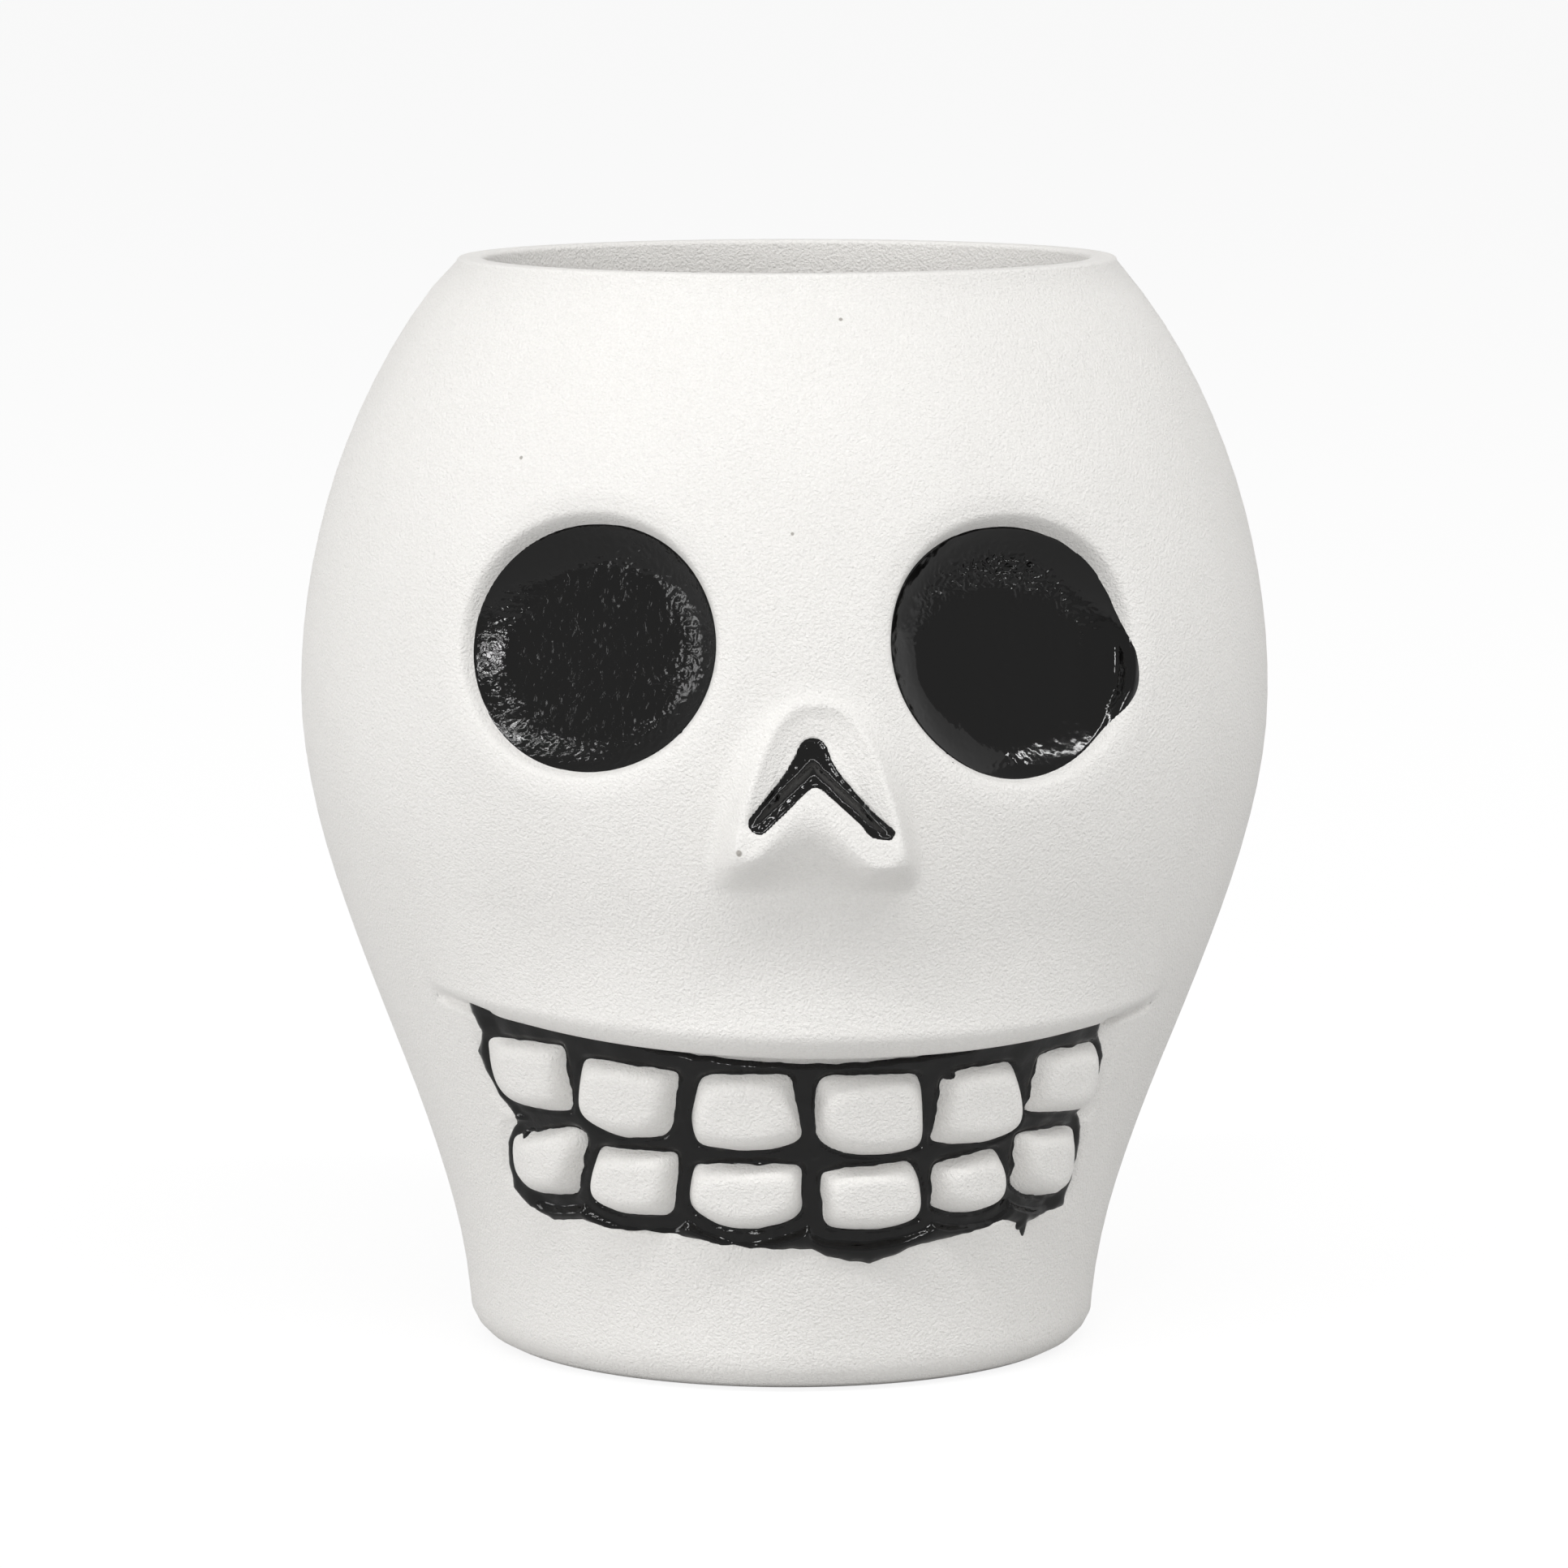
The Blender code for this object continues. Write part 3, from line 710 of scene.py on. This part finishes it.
# Eye enamel: gloss black enamel poured into each socket. It has crept up the socket's wall all
# round and dried with bubbles and wrinkles, most in the left eye. The right one ran over on its
# outer side. Sizes without MM are in millimetres. Each noise is (lumps per millimetre, offset),
# and froth is (height, direction).
POOL_RINGS = 84
POOL_MARGIN = 0.035
POOL_LEVEL = -4.3
MENISCUS = 3.4
MENISCUS_CURVE = 1.8
POOL_BURIED = 0.15
POOL_THICKNESS = 0.25 * MM
HEX_CORNERS = 6
SKIN_ROUNDS = 3
PATCH_NOISE = (0.3, (2, 5, 0))
PATCH_SHARE = 0.6
PATCH_CONTRAST = 1.6
WORM_NOISE = (1.6, (0, 0, 3))
FINE_WORM_NOISE = (2.9, (0, 0, 0))
FINE_WORM_SHARE = 0.5
POOL_WRINKLES = {"left": 0.1, "right": 0.025}
CALM_SHARE = 0.3
WRINKLE_MARGIN = 1.5
SWELL_NOISE = (0.35, (4, 1, 0))
SWELL = 0.1
SWELL_MARGIN = 2
FROTH = {"left": (0.1, 65), "right": (0.3, 5)}
FROTH_PLACE = 0.66
FROTH_WIDTH = 0.13
FROTH_SPREAD = 60
FROTH_NOISE = (2.2, (1, 8, 0))
FROTH_CONTRAST = 3
RUN_OVER = {"left": 0.0, "right": 0.12}
RUN_OVER_DIRECTION = 106
RUN_OVER_SPREADS = (19, 14)
RUN_OVER_FILM = 0.35
RUN_OVER_EDGE = 0.6
ENAMEL_BLACK = (0.0015, 0.0014, 0.0013)
ENAMEL_ROUGHNESS = 0.04
ENAMEL_SPECULAR = 0.38
FOLD_SCALE = 1500
FOLD_ROUGHNESS = 0.03
RIPPLE_SCALE = 420
RIPPLE_SHARE = 0.5
BUBBLE_SCALE = 1100
PATCH_SCALE = 230
PATCH_RANGE = (0.42, 0.62)
PATCH_ROUGHNESS = 0.04


def round_off(point):
    """Move a point of a hexagon with corners at a radius of 1 to its place on a round disc."""
    angle = math.atan2(point.x, point.y)
    side = math.tau / HEX_CORNERS
    reach = math.cos(side / 2) / math.cos((angle % side) - side / 2)
    return angle, math.hypot(point.x, point.y) / reach


def skin_level(eye, across, up):
    """Height of the plain skin in an eye's frame, in millimetres."""
    level = 0.0
    for _ in range(SKIN_ROUNDS):
        point = eye @ (Vector((across, up, level)) * MM)
        turn = math.degrees(math.atan2(point.x, -point.y * WIDTH / 2 / FRONT_DEPTH))
        level = (eye.inverted() @ on_head(turn, point.z / MM)).z / MM
    return level


def pool_noise(place, detail, offset):
    """Soft random number between about -1 and 1 for a place in a pool."""
    return noise.noise(place * detail + Vector(offset))


def pool_point(side, angle, share):
    """Point of an eye's enamel in the eye's frame, in millimetres."""
    eye = eyes[side]
    direction = math.degrees(angle) % 360
    away = degrees_between(direction, RUN_OVER_DIRECTION)
    run_over = RUN_OVER[side] * math.exp(-(away / RUN_OVER_SPREADS[away > 0]) ** 2)
    reach = share * (1 + POOL_MARGIN + run_over)
    edge_across = math.sin(angle) * EYE_RADII[side][0]
    edge_up = math.cos(angle) * EYE_RADII[side][1]
    across, up = edge_across * reach, edge_up * reach
    beyond = beyond_enamel(side, across, up)
    edge = socket_level(0, skin_level(eye, edge_across, edge_up))
    climb = min(max(0.0, 1 + beyond / MENISCUS), 1.0)
    level = POOL_LEVEL + (edge - POOL_LEVEL) * climb ** MENISCUS_CURVE
    place = Vector((across, up, 0))
    patches = smooth_step(PATCH_SHARE + PATCH_CONTRAST * pool_noise(place, *PATCH_NOISE))
    worms = abs(pool_noise(place, *WORM_NOISE))
    worms += FINE_WORM_SHARE * pool_noise(place, *FINE_WORM_NOISE)
    wrinkles = POOL_WRINKLES[side] * worms * (CALM_SHARE + (1 - CALM_SHARE) * patches)
    level += wrinkles * smooth_step(-beyond / WRINKLE_MARGIN)
    level += SWELL * pool_noise(place, *SWELL_NOISE) * smooth_step(-beyond / SWELL_MARGIN)
    froth, middle = FROTH[side]
    froth *= math.exp(-((share - FROTH_PLACE) / FROTH_WIDTH) ** 2)
    froth *= math.exp(-(degrees_between(direction, middle) / FROTH_SPREAD) ** 2)
    level += froth * (1 - FROTH_CONTRAST * abs(pool_noise(place, *FROTH_NOISE)))
    film = min(RUN_OVER_FILM, RUN_OVER_EDGE * (run_over * EYE_MEAN - beyond))
    on_wall = socket_level(beyond, skin_level(eye, across, up)) + max(film, -POOL_BURIED)
    return Vector((across, up, max(level, on_wall) if beyond < 0 else on_wall))


def enamel_finish(name, wrinkles, bubbles, depth):
    """Gloss black enamel with shares of wrinkles and bubbles in its skin, and their depth."""
    material, shader, place = new_finish(name)
    folds = noise_wire(place, FOLD_SCALE, detail=3, roughness=0.55, distortion=1.2)
    ripples = noise_wire(place, RIPPLE_SCALE, detail=2)
    cells = place.node("ShaderNodeTexVoronoi", {"feature": "SMOOTH_F1"}, {
        "Vector": place, "Scale": BUBBLE_SCALE, "Smoothness": 0.5})
    patches = between(noise_wire(place, PATCH_SCALE, detail=1), *PATCH_RANGE)
    height = folds * wrinkles + ripples * RIPPLE_SHARE + (1 - cells) * patches * bubbles
    join(shader, "Normal", bump(height, depth))
    gloss = ENAMEL_ROUGHNESS + patches * PATCH_ROUGHNESS + folds * FOLD_ROUGHNESS
    join(shader, "Roughness", gloss)
    paler = tuple(2 * part for part in ENAMEL_BLACK)
    join(shader, "Base Color", blend_colours(folds * 0.5, ENAMEL_BLACK, paler))
    shader.inputs["Specular IOR Level"].default_value = ENAMEL_SPECULAR
    return material


enamel = {
    "left": enamel_finish("wrinkled_black_enamel", 0.7, 0.5, 0.07 * MM),
    "right": enamel_finish("bubbled_black_enamel", 0.12, 0.6, 0.07 * MM),
}
for side, eye in eyes.items():
    bpy.ops.object.select_all(action="DESELECT")
    bpy.ops.mesh.primitive_circle_add(vertices=HEX_CORNERS, radius=1, fill_type="TRIFAN")
    pool = bpy.context.object
    pool.name = f"eye_pool_{side}"
    bpy.ops.object.mode_set(mode="EDIT")
    bpy.ops.mesh.select_all(action="SELECT")
    bpy.ops.mesh.subdivide(number_cuts=POOL_RINGS)
    bpy.ops.object.mode_set(mode="OBJECT")
    for vertex in pool.data.vertices:
        vertex.co = eye @ (pool_point(side, *round_off(vertex.co)) * MM)
    wall = pool.modifiers.new("thickness", "SOLIDIFY")
    wall.thickness = POOL_THICKNESS
    wall.offset = -1
    bpy.ops.object.modifier_apply(modifier=wall.name)
    bpy.ops.object.shade_smooth()
    pool.data.materials.append(enamel[side])
    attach(pool, "root")
    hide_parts(f"eye_enamel_{side}")


# Nose enamel: the same gloss black, run thickly into the nose's upside-down V with a small brush.
# It climbs the groove's edges a little. Wobble and ripple are (rise, lumps per millimetre, seed).
NOSTRIL_LEVEL = 0.12
NOSTRIL_MENISCUS = 0.2
NOSTRIL_WOBBLE = (0.07, 1.8, 7)
NOSTRIL_RIPPLE = (0.05, 2.4, 3)
NOSTRIL_BOX = ((-6.4, 6.9), (46.0, 56.0))
NOSTRIL_CUTS = (90, 70)
SHEET_THICKNESS = 0.25 * MM
BURIED = 0.3


def enamel_sheet(name, columns, rows, placed, kept, material):
    """Sheet of enamel from a grid: placed gives each point, kept says which part stays."""
    bpy.ops.object.select_all(action="DESELECT")
    bpy.ops.mesh.primitive_grid_add(x_subdivisions=columns, y_subdivisions=rows, size=1)
    sheet = bpy.context.object
    sheet.name = name
    bpy.ops.object.mode_set(mode="EDIT")
    pick_faces(sheet, lambda middle: not kept(middle.x + 0.5, middle.y + 0.5))
    bpy.ops.mesh.delete(type="FACE")
    bpy.ops.object.mode_set(mode="OBJECT")
    for vertex in sheet.data.vertices:
        vertex.co = placed(vertex.co.x + 0.5, vertex.co.y + 0.5)
    wall = sheet.modifiers.new("thickness", "SOLIDIFY")
    wall.thickness = SHEET_THICKNESS
    wall.offset = -1
    bpy.ops.object.modifier_apply(modifier=wall.name)
    bpy.ops.object.shade_smooth()
    sheet.data.materials.append(material)
    return sheet


def share_of(limits, share):
    """Value at a share of the way between two limits."""
    return limits[0] + (limits[1] - limits[0]) * share


def unevenness(side, height, rise, detail, seed):
    """Soft random rise or fall in millimetres at a place on the nose."""
    return rise * noise.noise(Vector((side * detail, height * detail, seed)))


def nostril_edge(across, up):
    """Place in the nose and distance inside its painted edge."""
    side = share_of(NOSTRIL_BOX[0], across)
    height = share_of(NOSTRIL_BOX[1], up)
    inside = inside_nostrils(side, height) + unevenness(side, height, *NOSTRIL_WOBBLE)
    return side, height, inside


def place_nostril(across, up):
    """Point of the nose's enamel."""
    side, height, inside = nostril_edge(across, up)
    turn = math.degrees(math.asin(side * MM / FRONT_DEPTH))
    sink = -BURIED if inside < -BURIED else inside
    if inside > 0:
        sink = -NOSTRIL_LEVEL * smooth_step(inside / NOSTRIL_MENISCUS)
        sink += unevenness(side, height, *NOSTRIL_RIPPLE)
    return on_head(turn, height, nose_face(side, height) + sink)


brushed = enamel_finish("brushed_black_enamel", 0.3, 0.2, 0.08 * MM)
nostrils = enamel_sheet("nose_paint", *NOSTRIL_CUTS, place_nostril,
                        lambda across, up: nostril_edge(across, up)[2] > -BURIED, brushed)
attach(nostrils, "root")
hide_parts("nose_enamel")


# Mouth enamel: gloss black flooded into the grooves round the teeth and brushed out to a ragged
# edge on the jaw, with a drip below the right corner of the mouth.
MOUTH_BOX = ((-54.5, 53.5), (9.5, 31.6))
MOUTH_CUTS = (270, 112)
MOUTH_LEVEL = -0.5
MOUTH_FILM = 0.3
MOUTH_EDGE = 0.3
MOUTH_MENISCUS = 0.25
MOUTH_BURIED = 0.4
RAGGED_EDGE = ((0.14, 1.5, 2), (0.04, 0.6, 5))
FILM_WAVES = ((0.3, 1.1, 11),)
LEVEL_WAVES = ((0.12, 1.7, 17),)
DRY_LIP = 0.75
DRY_LIP_TURN = 24
# Turn, height and radius of small blobs at the edge of the enamel.
BLOBS = ((20.4, 26.9, 0.5), (-46.6, 20.5, 0.42), (40.0, 12.9, 0.35), (-34.0, 21.9, 0.3))
PAINT_OUTLINE = (
    (-50.2, 32.5), (-50.4, 30.4), (-49.6, 28.9), (-51.6, 27.0), (-51.5, 25.6), (-50.1, 23.4),
    (-47.8, 21.8), (-48.3, 21.1), (-51.5, 19.4), (-52.9, 17.5), (-52.8, 15.4), (-49.6, 14.0),
    (-44.4, 13.3), (-38.1, 13.7), (-32.7, 13.2), (-20.6, 13.3), (-15.1, 12.7), (-7.9, 12.4),
    (1.5, 12.3), (5.6, 11.5), (11.4, 11.0), (14.6, 11.5), (20.4, 12.4), (31.2, 13.1),
    (36.0, 13.7), (39.4, 13.2), (41.4, 11.9), (41.6, 13.1), (46.4, 13.6), (50.9, 13.8),
    (51.6, 16.0), (51.0, 18.3), (49.7, 20.5), (47.6, 21.9), (48.9, 24.3), (49.1, 26.7),
    (46.3, 29.2), (45.8, 32.5),
)


def waves(turn, height, layers):
    """Unevenness at a place on the face, from layers of (rise, size, seed)."""
    total = 0.0
    for rise, size, seed in layers:
        total += rise * noise.noise(Vector((turn * DEGREE / size, height / size, seed)))
    return total


def inside_outline(turn, height, outline):
    """Distance in millimetres inside a closed outline, negative outside it."""
    nearest = 99.0
    inside = False
    for first, second in zip(outline, outline[1:] + outline[:1]):
        across = (second[0] - first[0]) * DEGREE
        up = second[1] - first[1]
        side, lift = (turn - first[0]) * DEGREE, height - first[1]
        share = (side * across + lift * up) / (across * across + up * up)
        share = min(max(share, 0.0), 1.0)
        nearest = min(nearest, math.hypot(side - across * share, lift - up * share))
        if (first[1] > height) != (second[1] > height) and side < across * lift / up:
            inside = not inside
    return nearest if inside else -nearest


def mouth_paint(across, up):
    """Place in the mouth and distance inside the painted edge."""
    turn = share_of(MOUTH_BOX[0], across)
    height = share_of(MOUTH_BOX[1], up)
    off_teeth = -inside_teeth(turn, height, TOOTH_CORNER)[0]
    inside = min(inside_outline(turn, height, PAINT_OUTLINE), off_teeth)
    dry = DRY_LIP * max(0.0, 1 - (turn / DRY_LIP_TURN) ** 2)
    if dry:
        inside = min(inside, lip_line(turn) - dry - height)
    inside += waves(turn, height, RAGGED_EDGE)
    for middle, level, size in BLOBS:
        inside = max(inside, size - math.hypot((turn - middle) * DEGREE, height - level))
    return turn, height, inside


def place_mouth(across, up):
    """Point of the mouth's enamel."""
    turn, height, inside = mouth_paint(across, up)
    relief = mouth_relief(turn, height)
    if inside < 0:
        return on_head(turn, height, relief + max(inside, -MOUTH_BURIED))
    film = MOUTH_FILM * (1 - math.exp(-inside / MOUTH_EDGE))
    film *= 1 + waves(turn, height, FILM_WAVES)
    level = MOUTH_LEVEL + waves(turn, height, LEVEL_WAVES)
    top = relief + film
    if level > top:
        top += (level - top) * smooth_step(inside / MOUTH_MENISCUS)
    return on_head(turn, height, top)


mouth = enamel_sheet("mouth_paint", *MOUTH_CUTS, place_mouth,
                     lambda across, up: mouth_paint(across, up)[2] > -BURIED, brushed)
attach(mouth, "root")
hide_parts("mouth_enamel")


# Studio: a plain white floor that runs out of the picture, an even pale surround and four soft
# lamps: one at each side, a small one in front and a long, narrow one overhead. Their
# reflections are the highlights in the enamel. Sizes are in metres.
FLOOR_RADIUS = 14
FLOOR_SEGMENTS = 64
FLOOR_COLOUR = (0.64, 0.64, 0.64)
PAPER_ROUGHNESS = 0.9
SURROUND = 0.5
GLOW_SHARE = 0.75
GLOW_STRENGTH = 1.15

bpy.ops.object.select_all(action="DESELECT")
bpy.ops.mesh.primitive_circle_add(
    vertices=FLOOR_SEGMENTS, radius=FLOOR_RADIUS, fill_type="NGON")
ground = bpy.context.object
ground.name = "studio_floor"
paper = bpy.data.materials.new("white_paper")
paper.use_nodes = True
paper_tree = paper.node_tree
paper_shader = paper_tree.nodes["Principled BSDF"]
paper_shader.inputs["Base Color"].default_value = (*FLOOR_COLOUR, 1)
paper_shader.inputs["Roughness"].default_value = PAPER_ROUGHNESS
paper_shader.inputs["Specular IOR Level"].default_value = 0
seen = Wire(paper_tree).node("ShaderNodeLightPath")
glow = seen.node("ShaderNodeEmission", {}, {"Color": (1, 1, 1, 1), "Strength": GLOW_STRENGTH})
lit = Wire(paper_tree, paper_shader.outputs[0])
mixed = seen.node("ShaderNodeMixShader", {}, {0: seen * GLOW_SHARE, 1: lit, 2: glow})
paper_tree.links.new(mixed.socket, paper_tree.nodes["Material Output"].inputs["Surface"])
ground.data.materials.append(paper)

world = bpy.data.worlds.new("studio")
world.use_nodes = True
bpy.context.scene.world = world
sky = world.node_tree.nodes["Background"]
sky.inputs["Color"].default_value = (1, 1, 1, 1)
ray = Wire(world.node_tree).node("ShaderNodeLightPath")
join(sky, "Strength", SURROUND + ray * (1 - SURROUND))


def soft_lamp(name, place, width, height, power):
    """Area lamp that looks at the middle of the head."""
    lamp = bpy.data.lights.new(name, "AREA")
    lamp.shape = "RECTANGLE"
    lamp.size = width
    lamp.size_y = height
    lamp.energy = power
    holder = bpy.data.objects.new(name, lamp)
    bpy.context.scene.collection.objects.link(holder)
    holder.location = place
    aim = Vector((0, 0, BELLY_HEIGHT)) - Vector(place)
    holder.rotation_euler = aim.to_track_quat("-Z", "Y").to_euler()


soft_lamp("left_softbox", (-1.25, -0.25, 0.25), 0.5, 0.5, 3.8)
soft_lamp("right_softbox", (1.2, 0.1, 0.5), 1.2, 1.2, 1.8)
soft_lamp("front_softbox", (-0.25, -1.2, 0.45), 0.18, 0.18, 2.5)
soft_lamp("overhead_softbox", (0.05, -0.75, 1.15), 2.2, 0.055, 11.6)

bpy.context.scene.view_settings.view_transform = "Standard"
